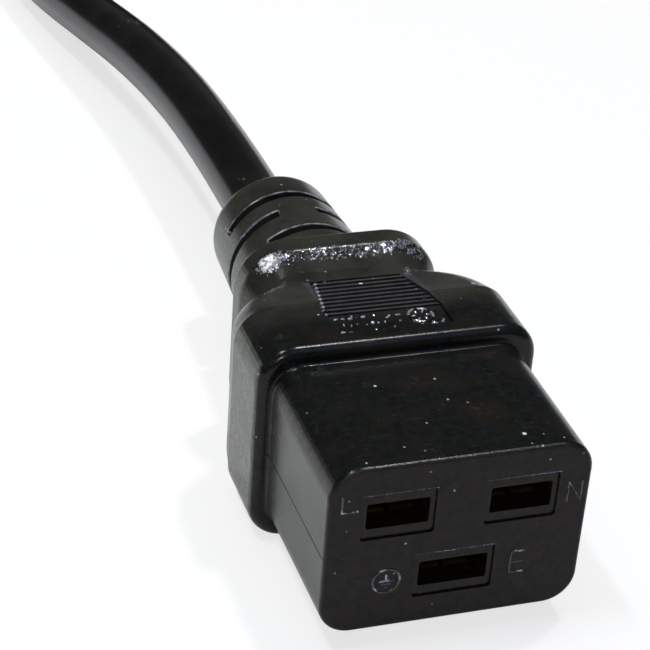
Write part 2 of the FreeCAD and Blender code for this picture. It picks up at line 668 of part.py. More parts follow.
envelopes = []
for pole in poles:
    conductor, envelope, insulation = core(
        pole, False, poles[pole], lay_degrees[pole], size("crimp_front"), size("core_front"),
        size("core_bend"), size("core_bend") + size("core_settle"))
    envelopes.append(envelope)
    keep(f"contact_{pole}", spring_contact(pole))
    keep(f"conductor_{pole}", conductor)
    keep(f"insulation_{pole}", insulation)
keep("contact_carrier", contact_carrier())
keep("carrier_cap", carrier_cap())
keep("sheath_end", sheath_end("SheathEnd", "sheath_front", lay_degrees))
keep("housing", without("Housing", connector_moulding(), envelopes))

plug_tools = []
for pole in poles:
    conductor, envelope, insulation = core(
        f"plug_{pole}", True, plug_poles[pole], plug_lay_degrees[pole], size("pin_back"),
        size("pin_crimp_back"), size("pin_core_bend"), size("pin_core_bend") + size("core_settle"))
    pin = flat_pin(pole)
    plug_tools += [pin, envelope, conductor]
    keep(f"plug_pin_{pole}", pin)
    keep(f"plug_conductor_{pole}", conductor)
    keep(f"plug_insulation_{pole}", insulation)
keep("plug_pin_carrier", stand(pin_carrier(), True))
keep("plug_sheath_end", stand(sheath_end("PlugSheathEnd", "plug_sheath_front", plug_lay_degrees), True))
keep("plug_housing", without("PlugHousing", stand(plug_moulding(), True), plug_tools))

hank = cord_hank()
keep("cord_hank", hank)
keep("power_cord", cord_tube("PowerCord", cord_route, hank))
keep("cord_tail", cord_tube("CordTail", tail_route, hank))
keep("hank_tie_left", hank_tie("HankTieLeft", "-1"))
keep("hank_tie_right", hank_tie("HankTieRight", "1"))

doc.recompute()
for obj in doc.Objects:
    if "Invalid" in obj.State or "Error" in obj.State:
        raise RuntimeError(f"{obj.Label} did not build: {obj.State}")
os.makedirs("parts", exist_ok=True)
for node, obj in kept.items():
    if obj.Shape.isNull() or not obj.Shape.isValid() or not obj.Shape.Solids:
        raise RuntimeError(f"{node} has no valid solid")
    obj.Shape.exportStep(f"parts/{node}.step")
    print(node, round(obj.Shape.Volume, 1), len(obj.Shape.Solids), "solid")
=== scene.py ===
import json
import math

import bpy
from mathutils import Matrix, Vector


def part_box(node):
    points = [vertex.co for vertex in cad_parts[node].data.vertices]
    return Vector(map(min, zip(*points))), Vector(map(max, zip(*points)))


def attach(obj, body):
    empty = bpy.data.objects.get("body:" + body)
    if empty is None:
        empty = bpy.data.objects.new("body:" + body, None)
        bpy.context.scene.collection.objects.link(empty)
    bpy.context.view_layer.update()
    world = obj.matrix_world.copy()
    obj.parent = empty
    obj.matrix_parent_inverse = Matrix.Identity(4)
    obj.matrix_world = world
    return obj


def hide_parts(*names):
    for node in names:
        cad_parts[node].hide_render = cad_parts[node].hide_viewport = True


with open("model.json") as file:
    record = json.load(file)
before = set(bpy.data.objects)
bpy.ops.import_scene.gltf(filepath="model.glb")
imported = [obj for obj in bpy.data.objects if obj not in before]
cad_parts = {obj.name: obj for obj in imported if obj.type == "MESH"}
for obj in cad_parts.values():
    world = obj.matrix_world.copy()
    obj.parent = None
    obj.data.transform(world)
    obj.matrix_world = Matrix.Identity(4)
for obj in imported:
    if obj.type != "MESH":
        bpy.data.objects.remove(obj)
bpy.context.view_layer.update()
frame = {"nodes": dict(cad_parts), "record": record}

nodes = frame["nodes"]
mm = 0.001
scene = bpy.context.scene


# Sockets, materials and geometry patterns.

class Wire:
    # one socket, on which Python's own signs add Math nodes
    def __init__(self, web, socket):
        self.web, self.socket = web, socket

    def __add__(self, other):
        return self.web.maths("ADD", self, other)

    def __radd__(self, other):
        return self.web.maths("ADD", other, self)

    def __sub__(self, other):
        return self.web.maths("SUBTRACT", self, other)

    def __rsub__(self, other):
        return self.web.maths("SUBTRACT", other, self)

    def __mul__(self, other):
        return self.web.maths("MULTIPLY", self, other)

    def __rmul__(self, other):
        return self.web.maths("MULTIPLY", other, self)

    def beside(self, name):
        # another output of the same node
        return Wire(self.web, self.socket.node.outputs[name])


class Web:
    # a node tree in the making
    def __init__(self, tree):
        self.tree = tree

    def add(self, kind, settings, *values, at=None, output=0, **named):
        # values fill the first sockets in order, those numbered in the dictionary at, and those of a name
        node = self.tree.nodes.new(kind)
        for key, value in settings.items():
            setattr(node, key, value)
        sockets = dict(enumerate(values))
        sockets.update(at or {})
        sockets.update((key.replace("_", " "), value) for key, value in named.items())
        for place, value in sockets.items():
            self.feed(node.inputs[place], value)
        return Wire(self, node.outputs[output])

    def feed(self, socket, value):
        if isinstance(value, Wire):
            self.tree.links.new(value.socket, socket)
        elif socket.type == "RGBA" and len(value) == 3:
            socket.default_value = (*value, 1.0)
        else:
            socket.default_value = value

    def maths(self, operation, *values):
        return self.add("ShaderNodeMath", {"operation": operation}, *values)

    def larger(self, first, second):
        return self.maths("MAXIMUM", first, second)

    def part(self, vector, index):
        return self.add("ShaderNodeSeparateXYZ", {}, vector, output=index)

    def blend(self, share, first, second):
        # the colour sockets of a Mix node are its inputs 6 and 7 and its output 2
        return self.add("ShaderNodeMix", {"data_type": "RGBA"}, share, at={6: first, 7: second}, output=2)


class Finish(Web):
    # a material whose surface sockets are filled by name
    def __init__(self, name):
        self.material = bpy.data.materials.new(name)
        self.material.use_nodes = True
        super().__init__(self.material.node_tree)
        self.surface = self.tree.nodes["Principled BSDF"]
        self.place = self.add("ShaderNodeTexCoord", {}, output="Object")

    def give(self, **sockets):
        for key, value in sockets.items():
            self.feed(self.surface.inputs[key.replace("_", " ")], value)

    def noise(self, scale, detail=3.0, rough=0.6, vector=None):
        return self.add("ShaderNodeTexNoise", {}, Vector=vector or self.place, Scale=scale, Detail=detail,
                        Roughness=rough)

    def stretched(self, x, y, z, turn=(0, 0, 0)):
        return self.add("ShaderNodeMapping", {}, self.place, (0, 0, 0), turn, (x, y, z))

    def cells(self, scale, output="Distance"):
        return self.add("ShaderNodeTexVoronoi", {}, Vector=self.place, Scale=scale, output=output)

    def span(self, value, low, high, newLow=0.0, newHigh=1.0):
        return self.add("ShaderNodeMapRange", {}, value, low, high, newLow, newHigh)

    def specks(self, scale, radius, rarity):
        # round grains in a random few of the cells
        chosen = self.span(self.part(self.cells(scale, "Color"), 0), rarity, rarity + 0.02)
        return self.span(self.cells(scale), radius, radius * 0.6) * chosen

    def bump(self, height):
        return self.add("ShaderNodeBump", {}, Strength=1.0, Distance=1.0, Height=height)


class Pattern(Web):
    # a Geometry Nodes group with a named input for each of its values
    kinds = {int: "Int", float: "Float", tuple: "Vector"}

    def __init__(self, name, values):
        super().__init__(bpy.data.node_groups.new(name, "GeometryNodeTree"))
        self.values = values
        face = self.tree.interface
        face.new_socket("Geometry", in_out="INPUT", socket_type="NodeSocketGeometry")
        for label, value in values.items():
            socketType = f"NodeSocket{self.kinds[type(value)]}"
            face.new_socket(label, in_out="INPUT", socket_type=socketType).default_value = value
        face.new_socket("Geometry", in_out="OUTPUT", socket_type="NodeSocketGeometry")
        self.wayIn = self.tree.nodes.new("NodeGroupInput")

    def entry(self, name):
        return Wire(self, self.wayIn.outputs[name])

    def random(self, low, high, seed):
        # a plain number's limits are the node's inputs 2 and 3, and the number is its output 1
        return self.add("FunctionNodeRandomValue", {"data_type": "FLOAT"}, at={2: low, 3: high}, Seed=seed,
                        output=1)

    def close(self, geometry, material):
        real = self.add("GeometryNodeRealizeInstances", {}, geometry)
        painted = self.add("GeometryNodeSetMaterial", {}, real, Material=material)
        wayOut = self.tree.nodes.new("NodeGroupOutput")
        self.tree.links.new(painted.socket, wayOut.inputs[0])


def show(name, data):
    piece = bpy.data.objects.new(name, data)
    scene.collection.objects.link(piece)
    return piece


def settle(piece):
    # the piece becomes the plain mesh that its modifiers or its curve make
    bpy.context.view_layer.update()
    evaluated = piece.evaluated_get(bpy.context.evaluated_depsgraph_get())
    mesh = bpy.data.meshes.new_from_object(evaluated)
    mesh.name = piece.name
    if piece.type == "MESH":
        piece.modifiers.clear()
        piece.data = mesh
        return piece
    name, old = piece.name, piece.data
    bpy.data.objects.remove(piece)
    bpy.data.curves.remove(old)
    return show(name, mesh)


def grown(name, mesh, pattern):
    # the piece that a pattern makes of a mesh
    piece = show(name, mesh)
    modifier = piece.modifiers.new("pattern", "NODES")
    modifier.node_group = pattern.tree
    for item in pattern.tree.interface.items_tree:
        if item.in_out == "INPUT" and item.name in pattern.values:
            modifier[item.identifier] = pattern.values[item.name]
    return settle(piece)


def addPiece(piece):
    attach(piece, "root")
    return piece


# Finishes.

mouldedLook = {
    "dark": (0.0045, 0.0042, 0.0046), "green": (0.0075, 0.0095, 0.0062), "brown": (0.0150, 0.0098, 0.0078),
    "blue": (0.0050, 0.0075, 0.0115), "scuffed": (0.060, 0.060, 0.058), "dust": (0.60, 0.60, 0.58),
    "paleBehindNose": (0.0270, 0.0268, 0.0212), "ribTopHighlight": (0.046, 0.040, 0.052), "slotEdgeGlint": (0.30, 0.32, 0.38),
    "flankSheenColour": (0.120, 0.126, 0.108), "rough": 0.22, "index": 1.39, "level": 0.30,
    # where along the part, or how far from its middle, a change of look begins or ends
    "paleBehindNoseFrom": (24 * mm, 28 * mm), "plugFrom": (100 * mm, 90 * mm),
    "ribsAlong": (25.8 * mm, 34.6 * mm), "ribsSide": 6.5 * mm, "ribsFade": 0.2 * mm,
    "reliefFrom": (45 * mm, 46 * mm), "reliefTo": (70 * mm, 69 * mm),
    "flankSheenFrom": 7.0 * mm, "bodyFrom": 19.5 * mm, "faceBack": 0.25 * mm,
    # noises: scale, detail and roughness
    "mottle": (1100, 4, 0.7), "cloud": (170, 3, 0.6), "shade": (620, 3, 0.7), "fine": (3800, 3, 0.6),
    "scratches": (420, 5, 0.8), "crossing": (380, 5, 0.8),
}


def paintedFlankSheen(f):
    # painted reflection: the outer sides are painted paler for the bright floor they mirror, the nose less
    # for its shaded floor
    # 1 on the outer left and right sides, which are painted paler and a little duller than the rest; less on
    # the nose
    facing = f.part(f.add("ShaderNodeNewGeometry", {}, output="True Normal"), 0)
    across, along = f.part(f.place, 0), f.part(f.place, 1)
    outwards = f.span(facing * f.maths("SIGN", across), 0.80, 0.93)
    width = f.maths("ABSOLUTE", across)
    start, nose = mouldedLook["flankSheenFrom"], mouldedLook["bodyFrom"]
    return outwards * f.span(width, start, start * 1.08) * f.span(along, nose - mm, nose, 0.35, 1.0)


def paintedRibHighlight(f):
    # painted highlight: 1 on the level faces of the ribbed panel, painted pale purple where lamps would glint
    normal = f.add("ShaderNodeNewGeometry", {}, output="True Normal")
    across, along = f.maths("ABSOLUTE", f.part(f.place, 0)), f.part(f.place, 1)
    (first, last), side, fade = (mouldedLook[key] for key in ("ribsAlong", "ribsSide", "ribsFade"))
    within = f.span(along, first - fade, first) * f.span(along, last + fade, last)
    return within * f.span(across, side, side * 0.97) * f.span(f.part(normal, 2), 0.90, 0.96)


def paintedSlotGlints(f):
    # painted highlight: 1 on the rounded edges of the strain relief's slots that look forward, painted pale
    # as glints
    facing = f.part(f.add("ShaderNodeNewGeometry", {}, output="True Normal"), 1)
    rounded = f.span(facing, -0.30, -0.45) * f.span(facing, -0.97, -0.80)
    along = f.part(f.place, 1)
    return rounded * f.span(along, *mouldedLook["reliefFrom"]) * f.span(along, *mouldedLook["reliefTo"])


def mouldedFinish(name):
    # black PVC as it leaves a used mould: mottled, finely scratched, with grains of pale dust
    f = Finish(name)
    along = f.part(f.place, 1)
    mottle, cloud = f.noise(*mouldedLook["mottle"]), f.noise(*mouldedLook["cloud"])
    shade, fine = f.noise(*mouldedLook["shade"]), f.noise(*mouldedLook["fine"])
    colour = f.blend(f.span(mottle, 0.42, 0.62), mouldedLook["dark"], mouldedLook["green"])
    colour = f.blend(f.span(cloud, 0.46, 0.64) * f.span(mottle, 0.62, 0.38), colour, mouldedLook["brown"])
    colour = f.blend(f.span(shade, 0.54, 0.68), colour, mouldedLook["blue"])
    scratches = f.noise(*mouldedLook["scratches"], f.stretched(1.0, 7.0, 1.0, (0.3, 0.5, 0.8)))
    crossing = f.noise(*mouldedLook["crossing"], f.stretched(1.0, 1.0, 8.0, (0.9, 0.2, 0.3)))
    scuffs = f.larger(f.span(scratches, 0.60, 0.70), f.span(crossing, 0.61, 0.72))
    flankSheenMask, face = paintedFlankSheen(f), f.span(along, mouldedLook["faceBack"], 0.0)
    # the body behind the nose is paler than the nose, and the plug less so
    paleBehindNose = f.span(along, *mouldedLook["paleBehindNoseFrom"]) * f.span(cloud, 0.30, 0.56, 0.35, 1.0)
    paleBehindNose = paleBehindNose * f.span(along, *mouldedLook["plugFrom"], 0.3, 1.0)
    colour = f.blend(paleBehindNose, colour, mouldedLook["paleBehindNose"])
    # painted highlight on the level faces of the ribs
    colour = f.blend(paintedRibHighlight(f) * f.span(shade, 0.34, 0.60, 0.25, 1.0), colour, mouldedLook["ribTopHighlight"])
    colour = f.blend(face * f.span(shade, 0.60, 0.42), colour, mouldedLook["brown"])
    colour = f.blend(scuffs * 0.3, colour, mouldedLook["scuffed"])
    # painted reflection of the floor on the outer sides
    colour = f.blend(flankSheenMask * f.span(mottle, 0.25, 0.65, 0.35, 1.0), colour, mouldedLook["flankSheenColour"])
    # painted highlight on the forward-looking slot edges of the strain relief
    colour = f.blend(paintedSlotGlints(f) * f.span(shade, 0.40, 0.60, 0.12, 1.0), colour, mouldedLook["slotEdgeGlint"])
    dust = f.larger(f.specks(420, 0.11, 0.95), f.specks(1100, 0.17, 0.92) * 0.6)
    dulled = scuffs * 0.10 + dust * 0.3 + flankSheenMask * 0.06 + face * 0.38
    height = fine * 0.006 + mottle * (0.012 + flankSheenMask * 0.02 + face * 0.11) - scuffs * 0.003 + dust * 0.02
    f.give(Base_Color=f.blend(dust, colour, mouldedLook["dust"]), Normal=f.bump(height * mm))
    f.give(Roughness=mouldedLook["rough"] + (cloud - 0.5) * 0.12 + dulled)
    f.give(IOR=mouldedLook["index"], Specular_IOR_Level=mouldedLook["level"])
    return f.material


# painted glare: the grains round this corner are painted nearly white
ringGlare = (-8.6 * mm, 39.6 * mm, 10.8 * mm)  # the ring's corner whose grains are the largest and whitest
glintPaintLook = {
    "rough": 0.20, "index": 1.6, "metal": 0.85,
    "glare": (0.90, 0.92, 0.95), "glareFrom": (1.5 * mm, 0.7 * mm),
}


def glintPaintedFinish(name, scale, low, high, pale=(0.55, 0.57, 0.62), glare=None):
    # small raised marks and grains: hard, partly metal-like, painted pale here and there as painted glints,
    # most near a glare
    f = Finish(name)
    paintedGlint = f.span(f.noise(scale, 2, 0.5), low, high)
    colour, metal = f.blend(paintedGlint, mouldedLook["dark"], pale), paintedGlint * glintPaintLook["metal"]
    if glare:
        away = f.add("ShaderNodeVectorMath", {"operation": "DISTANCE"}, f.place, glare, output="Value")
        # painted glare: near it the grains are painted nearly white, with less metal
        near = f.span(away, *glintPaintLook["glareFrom"]) * f.span(paintedGlint, 0.0, 0.6, 0.35, 1.0)
        colour, metal = f.blend(near, colour, glintPaintLook["glare"]), metal * (1 - near)
    f.give(Base_Color=colour, Metallic=metal, Roughness=glintPaintLook["rough"], IOR=glintPaintLook["index"])
    return f.material


def plainFinish(name, colour, rough, metal=0.0, scale=1500, depth=0.008, tone=0.25, index=1.45):
    # one colour that clouds darken by the tone, over fine unevenness of the depth in millimetres
    f = Finish(name)
    cloud = f.noise(scale / 4, 4, 0.6)
    darker = tuple(channel * (1 - tone) for channel in colour)
    f.give(Base_Color=f.blend(f.span(cloud, 0.35, 0.65), darker, colour), Metallic=metal, IOR=index)
    f.give(Roughness=rough + (cloud - 0.5) * 0.15, Normal=f.bump(f.noise(scale) * depth * mm))
    return f.material


strandLook = {"bright": (0.78, 0.40, 0.23), "dark": (0.35, 0.14, 0.07), "rough": 0.38, "scale": 5200}


def strandedFinish(name):
    # copper strands seen end on and from the side
    f = Finish(name)
    strands = f.cells(strandLook["scale"])
    f.give(Base_Color=f.blend(f.span(strands, 0.2, 0.7), strandLook["bright"], strandLook["dark"]))
    f.give(Metallic=1.0, Roughness=strandLook["rough"])
    f.give(Normal=f.bump(f.span(strands, 0.7, 0.1) * 0.04 * mm))
    return f.material


sheathLook = {
    "dark": (0.0035, 0.0032, 0.0035), "brown": (0.0085, 0.0065, 0.0060), "worn": (0.55, 0.54, 0.52),
    "rough": 0.20, "index": 1.42,
}


def sheathFinish(name):
    # smooth extruded PVC: shiny, with faint waves, a few scuffs and grains of dust
    f = Finish(name)
    cloud = f.noise(160, 4, 0.6)
    colour = f.blend(f.span(cloud, 0.45, 0.65), sheathLook["dark"], sheathLook["brown"])
    scuffs = f.span(f.noise(240, 5, 0.7), 0.68, 0.72)
    dust = f.specks(300, 0.10, 0.95)
    f.give(Base_Color=f.blend(f.larger(scuffs * 0.12, dust * 0.8), colour, sheathLook["worn"]))
    f.give(Roughness=sheathLook["rough"] + (cloud - 0.5) * 0.10 + scuffs * 0.2, IOR=sheathLook["index"])
    f.give(Normal=f.bump((f.noise(420) * 0.012 + dust * 0.02) * mm))
    return f.material


strapLook = {"low": (0.010, 0.010, 0.012), "high": (0.050, 0.050, 0.056), "rough": 0.9}


def strapFinish(name):
    # woven hook and loop strap: ribs across it, fuzz all over
    f = Finish(name)
    ribs = f.add("ShaderNodeTexWave", {"bands_direction": "Y"}, Vector=f.place, Scale=320.0, Distortion=0.8)
    fuzz = f.noise(2400, 4, 0.8)
    f.give(Base_Color=f.blend(fuzz, strapLook["low"], strapLook["high"]), Roughness=strapLook["rough"])
    f.give(Normal=f.bump((ribs * 0.06 + fuzz * 0.15) * mm))
    return f.material


finishes = {
    "moulding": mouldedFinish("mouldedBlack"),
    # grains, marks, mould flash and the date wheel below carry painted glints
    "grains": glintPaintedFinish("ringGrains", scale=1500, low=0.46, high=0.56, glare=ringGlare),
    "faceMarks": glintPaintedFinish("faceMarks", scale=700, low=0.50, high=0.64, pale=(0.30, 0.33, 0.40)),
    "flash": glintPaintedFinish("mouldFlash", scale=520, low=0.44, high=0.60, pale=(0.20, 0.24, 0.36)),
    "panelMarks": glintPaintedFinish("panelMarks", scale=900, low=0.38, high=0.52, pale=(0.75, 0.77, 0.80)),
    "wheel": glintPaintedFinish("dateWheel", scale=800, low=0.50, high=0.60, pale=(0.75, 0.77, 0.80)),
    "carrier": plainFinish("carrierBlack", (0.0125, 0.0075, 0.0045), 0.22, scale=5200, depth=0.02, tone=0.8,
                           index=1.27),
    "contact": plainFinish("contactBrass", (0.55, 0.44, 0.24), 0.35, metal=1.0),
    "pin": plainFinish("pinNickel", (0.68, 0.66, 0.62), 0.26, metal=1.0, tone=0.1),
    "copper": strandedFinish("strandedCopper"),
    "core_live": plainFinish("coreBrown", (0.17, 0.07, 0.03), 0.45),
    "core_neutral": plainFinish("coreBlue", (0.04, 0.15, 0.45), 0.45),
    "core_earth": plainFinish("coreGreen", (0.16, 0.38, 0.05), 0.45),
    "sheath": sheathFinish("sheathBlack"),
    "tie": strapFinish("strapBlack"),
}
for part in frame["record"]["subparts"]:
    mesh = nodes[part["node"]].data
    mesh.materials.clear()
    mesh.materials.append(finishes[part["material_slot"]])
print("finishes", len(finishes))


# Grip ring: grains left by the spark-eroded mould along its front lip.

ringGrains = {
    # the places that carry grains: their span along the part, how far they turn to the front, and their top
    "front": 38.3 * mm, "back": 41.4 * mm, "facing": -0.12, "steepest": -0.66,
    "top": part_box("housing")[1].z - 0.08 * mm,
    # the ragged ends of the band, along the part and below
    "lowest": 38.5 * mm, "foot": 9.5 * mm, "fray": 0.9 * mm,
    "density": 34.0 / mm ** 2, "grain": 0.12 * mm, "smallest": 0.45, "largest": 1.25, "flatness": 0.55,
    # wider grains round the glare: how far from it, the share of that in which fully, and by how much
    "glare": ringGlare, "reach": 1.9 * mm, "full": 0.4, "swelling": 0.9,
    "seed": 7, "sizeSeed": 0,
}


def makeRingGrains():
    p = Pattern("grainPattern", ringGrains)
    place, turned = p.add("GeometryNodeInputPosition", {}), p.part(p.add("GeometryNodeInputNormal", {}), 1)
    along, height = p.part(place, 1), p.part(place, 2)
    inBand = p.maths("GREATER_THAN", along, p.entry("front")) * p.maths("LESS_THAN", along, p.entry("back"))
    inBand = inBand * p.maths("LESS_THAN", turned, p.entry("facing"))
    inBand = inBand * p.maths("GREATER_THAN", turned, p.entry("steepest"))
    inBand = inBand * p.maths("LESS_THAN", p.maths("ABSOLUTE", height), p.entry("top"))
    spots = p.add("GeometryNodeDistributePointsOnFaces", {}, p.entry("Geometry"), Selection=inBand,
                  Density=p.entry("density"), Seed=p.entry("seed"))
    grain = p.add("GeometryNodeMeshIcoSphere", {}, p.entry("grain"), 1)
    random = p.random(p.entry("smallest"), p.entry("largest"), p.entry("sizeSeed"))
    away = p.add("ShaderNodeVectorMath", {"operation": "DISTANCE"}, place, p.entry("glare"), output="Value")
    near = p.add("ShaderNodeMapRange", {}, away, p.entry("reach"), p.entry("reach") * p.entry("full"))
    wide = random * (1 + near * p.entry("swelling"))
    size = p.add("ShaderNodeCombineXYZ", {}, wide, wide, random * p.entry("flatness"))
    fray = (random - p.entry("smallest")) * p.entry("fray")
    kept = p.maths("GREATER_THAN", along, p.entry("lowest") + fray)
    kept = kept * p.maths("GREATER_THAN", height, p.entry("foot") + fray)
    grains = p.add("GeometryNodeInstanceOnPoints", {}, spots, kept, Instance=grain, Scale=size,
                   Rotation=spots.beside("Rotation"))
    p.close(grains, finishes["grains"])
    piece = addPiece(grown("ringGrains", nodes["housing"].data.copy(), p))
    print("ring grains", len(piece.data.polygons), "faces")


makeRingGrains()


# Moulded marks: strokes of round section, half sunk in the surface that they stand on.

strokes = {"face": 0.17 * mm, "panel": 0.17 * mm, "sunk": 0.09 * mm, "steps": 24, "roundness": 3}
letters = {  # strokes in a cell that is 1 wide and 1 high
    "L": [[(0, 1), (0, 0), (1, 0)]],
    "N": [[(0, 0), (0, 1), (1, 0), (1, 1)]],
    "E": [[(1, 1), (0, 1), (0, 0), (1, 0)], [(0, 0.5), (0.8, 0.5)]],
}
letterPlaces = {  # letter: (centre x, centre z), (width, height), in millimetres
    "L": ((-11.9, 6.1), (1.3, 2.0)), "N": ((12.3, 4.1), (1.5, 2.4)), "E": ((7.0, -3.9), (1.6, 2.6)),
}
earthSign = {"centre": (-7.2, -4.05), "radius": 1.45, "stem": 0.85, "bars": (0.8, 0.52, 0.22), "step": 0.38}


def ringPoints(centre, radius, steps=strokes["steps"]):
    turns = [2 * math.pi * step / steps for step in range(steps + 1)]
    return [(centre[0] + radius * math.cos(turn), centre[1] + radius * math.sin(turn)) for turn in turns]


def makeStrokes(name, lines, toSpace, radius, finish):
    # lines are lists of flat points in millimetres, which toSpace puts on the part
    curve = bpy.data.curves.new(name, "CURVE")
    curve.dimensions = "3D"
    curve.bevel_depth, curve.bevel_resolution, curve.use_fill_caps = radius, strokes["roundness"], True
    for line in lines:
        spline = curve.splines.new("POLY")
        spline.points.add(len(line) - 1)
        for point, flat in zip(spline.points, line):
            point.co = (*toSpace(*flat), 1.0)
    curve.materials.append(finish)
    return addPiece(settle(show(name, curve)))


def makeFaceMarks():
    lines = []
    for letter, ((x, z), (width, height)) in letterPlaces.items():
        for line in letters[letter]:
            lines.append([(x + (a - 0.5) * width, z + (b - 0.5) * height) for a, b in line])
    (x, z), radius = earthSign["centre"], earthSign["radius"]
    lines.append(ringPoints((x, z), radius))
    lines.append([(x, z + earthSign["stem"]), (x, z)])
    for index, half in enumerate(earthSign["bars"]):
        level = z - index * earthSign["step"]
        lines.append([(x - half, level), (x + half, level)])
    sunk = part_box("housing")[0].y + strokes["sunk"]
    makeStrokes("faceMarks", lines, lambda a, b: (a * mm, sunk, b * mm), strokes["face"],
                finishes["faceMarks"])


# Panel on top: a date wheel, a mould arrow and worn rows of raised marks.

panel = {  # flat places in millimetres
    "depth": 0.4 * mm, "wheel": (3.75, 24.15), "wheelRadius": 1.35,
    "arrow": [(4.6, 22.5), (5.0, 21.95), (4.3, 21.95), (4.6, 22.5)], "dash": [(5.5, 22.2), (5.9, 22.8)],
}
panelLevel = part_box("housing")[1].z - panel["depth"]


def makePanelStrokes(name, lines, finish):
    makeStrokes(name, lines, lambda x, y: (x * mm, y * mm, panelLevel), strokes["panel"], finishes[finish])


wheelTicks = {"count": 6, "radius": 0.78 * mm, "knob": 0.15 * mm, "shape": (1.7, 0.8, 0.9)}


def makeWheelTicks():
    # knobs in a circle, each with its long way outwards
    x, y = panel["wheel"]
    p = Pattern("tickPattern", {**wheelTicks, "centre": (x * mm, y * mm, panelLevel)})
    circle = p.add("GeometryNodeMeshCircle", {}, p.entry("count"), p.entry("radius"))
    knob = p.add("GeometryNodeMeshIcoSphere", {}, p.entry("knob"), 3)
    outwards = p.add("FunctionNodeAlignRotationToVector", {"axis": "X"},
                     Vector=p.add("GeometryNodeInputPosition", {}))
    stood = p.add("GeometryNodeInstanceOnPoints", {}, circle, Instance=knob, Rotation=outwards,
                  Scale=p.entry("shape"))
    moved = p.add("GeometryNodeTransform", {}, stood, Translation=p.entry("centre"))
    p.close(moved, finishes["panelMarks"])
    addPiece(grown("wheelTicks", bpy.data.meshes.new("wheelTicks"), p))


wornRows = {  # start and pitch in millimetres
    "start": (-5.7, 22.1), "pitch": (0.76, 1.40), "columns": 10, "rows": 3, "mark": 0.22 * mm,
    "lost": 0.18, "astray": (0.2 * mm, 0.24 * mm, 0.0), "seed": 4,
    "smallest": (0.4, 0.5, 0.4), "largest": (1.7, 1.3, 0.9),
}


def makeWornRows():
    # a grid of dots, some lost and each a little out of its place
    (startX, startY), (pitchX, pitchY) = wornRows["start"], wornRows["pitch"]
    width, height = (wornRows["columns"] - 1) * pitchX * mm, (wornRows["rows"] - 1) * pitchY * mm
    p = Pattern("rowPattern", {
        "width": width, "height": height, "columns": wornRows["columns"], "rows": wornRows["rows"],
        "mark": wornRows["mark"], "lost": wornRows["lost"], "astray": wornRows["astray"],
        "back": tuple(-value for value in wornRows["astray"]),
        "smallest": wornRows["smallest"], "largest": wornRows["largest"], "seed": wornRows["seed"],
        "centre": (startX * mm + width / 2, startY * mm + height / 2, panelLevel),
    })
    grid = p.add("GeometryNodeMeshGrid", {}, p.entry("width"), p.entry("height"), p.entry("columns"),
                 p.entry("rows"))
    lost = p.add("FunctionNodeRandomValue", {"data_type": "BOOLEAN"}, Probability=p.entry("lost"),
                 Seed=p.entry("seed"), output=3)
    dots = p.add("GeometryNodeMeshToPoints", {}, grid)
    dots = p.add("GeometryNodeDeleteGeometry", {"domain": "POINT"}, dots, lost)
    astray = p.add("FunctionNodeRandomValue", {"data_type": "FLOAT_VECTOR"}, p.entry("back"),
                   p.entry("astray"), Seed=p.entry("seed"))
    dots = p.add("GeometryNodeSetPosition", {}, dots, Offset=astray)
    blob = p.add("GeometryNodeMeshIcoSphere", {}, p.entry("mark"), 2)
    sizes = p.add("FunctionNodeRandomValue", {"data_type": "FLOAT_VECTOR"}, p.entry("smallest"),
                  p.entry("largest"), Seed=p.entry("seed"))
    written = p.add("GeometryNodeInstanceOnPoints", {}, dots, Instance=blob, Scale=sizes)
    moved = p.add("GeometryNodeTransform", {}, written, Translation=p.entry("centre"))
    p.close(moved, finishes["panelMarks"])
    addPiece(grown("wornRows", bpy.data.meshes.new("wornRows"), p))


# Rows of beads: rounded tips of the ribs, and moulding flash round the contact mouths.

beadRows = {  # name: ends of the row in millimetres, beads, radius, smallest bead, their length, finish
    "ribTips": ((-6.45, 25.91, 11.72), (-5.05, 34.01, 10.74), 9, 0.22 * mm, 1.0, 1.2, "panelMarks"),
    "flashLive": ((-10.45, 0.03, 6.75), (-2.65, 0.03, 6.75), 46, 0.085 * mm, 0.35, 1.7, "flash"),
    "flashNeutral": ((2.65, 0.03, 6.75), (10.45, 0.03, 6.75), 46, 0.085 * mm, 0.35, 1.7, "flash"),
    "flashEarth": ((-4.3, 0.03, -1.25), (4.3, 0.03, -1.25), 50, 0.085 * mm, 0.35, 1.7, "flash"),
}


def makeBeads():
    for seed, (name, row) in enumerate(beadRows.items()):
        start, end, count, radius, smallest, length, finish = row
        p = Pattern(f"{name}Pattern", {
            "count": count, "radius": radius, "smallest": smallest, "largest": 1.0, "length": length,
            "seed": seed,
        })
        rail = p.add("GeometryNodeMeshToCurve", {}, p.entry("Geometry"))
        places = p.add("GeometryNodeResampleCurve", {}, rail, Count=p.entry("count"))
        bead = p.add("GeometryNodeMeshIcoSphere", {}, p.entry("radius"), 2)
        size = p.random(p.entry("smallest"), p.entry("largest"), p.entry("seed"))
        shape = p.add("ShaderNodeCombineXYZ", {}, size * p.entry("length"), size, size)
        beads = p.add("GeometryNodeInstanceOnPoints", {}, places, Instance=bead, Scale=shape)
        p.close(beads, finishes[finish])
        mesh = bpy.data.meshes.new(name)
        mesh.from_pydata([tuple(value * mm for value in point) for point in (start, end)], [(0, 1)], [])
        addPiece(grown(name, mesh, p))


makeFaceMarks()
makePanelStrokes("panelMarks", [ringPoints(panel["wheel"], panel["wheelRadius"])], "wheel")
makePanelStrokes("panelArrow", [panel["arrow"], panel["dash"]], "panelMarks")
makeWheelTicks()
makeWornRows()
makeBeads()
print("moulded marks made")


# Power cord: one spline from the strain relief, round the hank and back out to the plug.

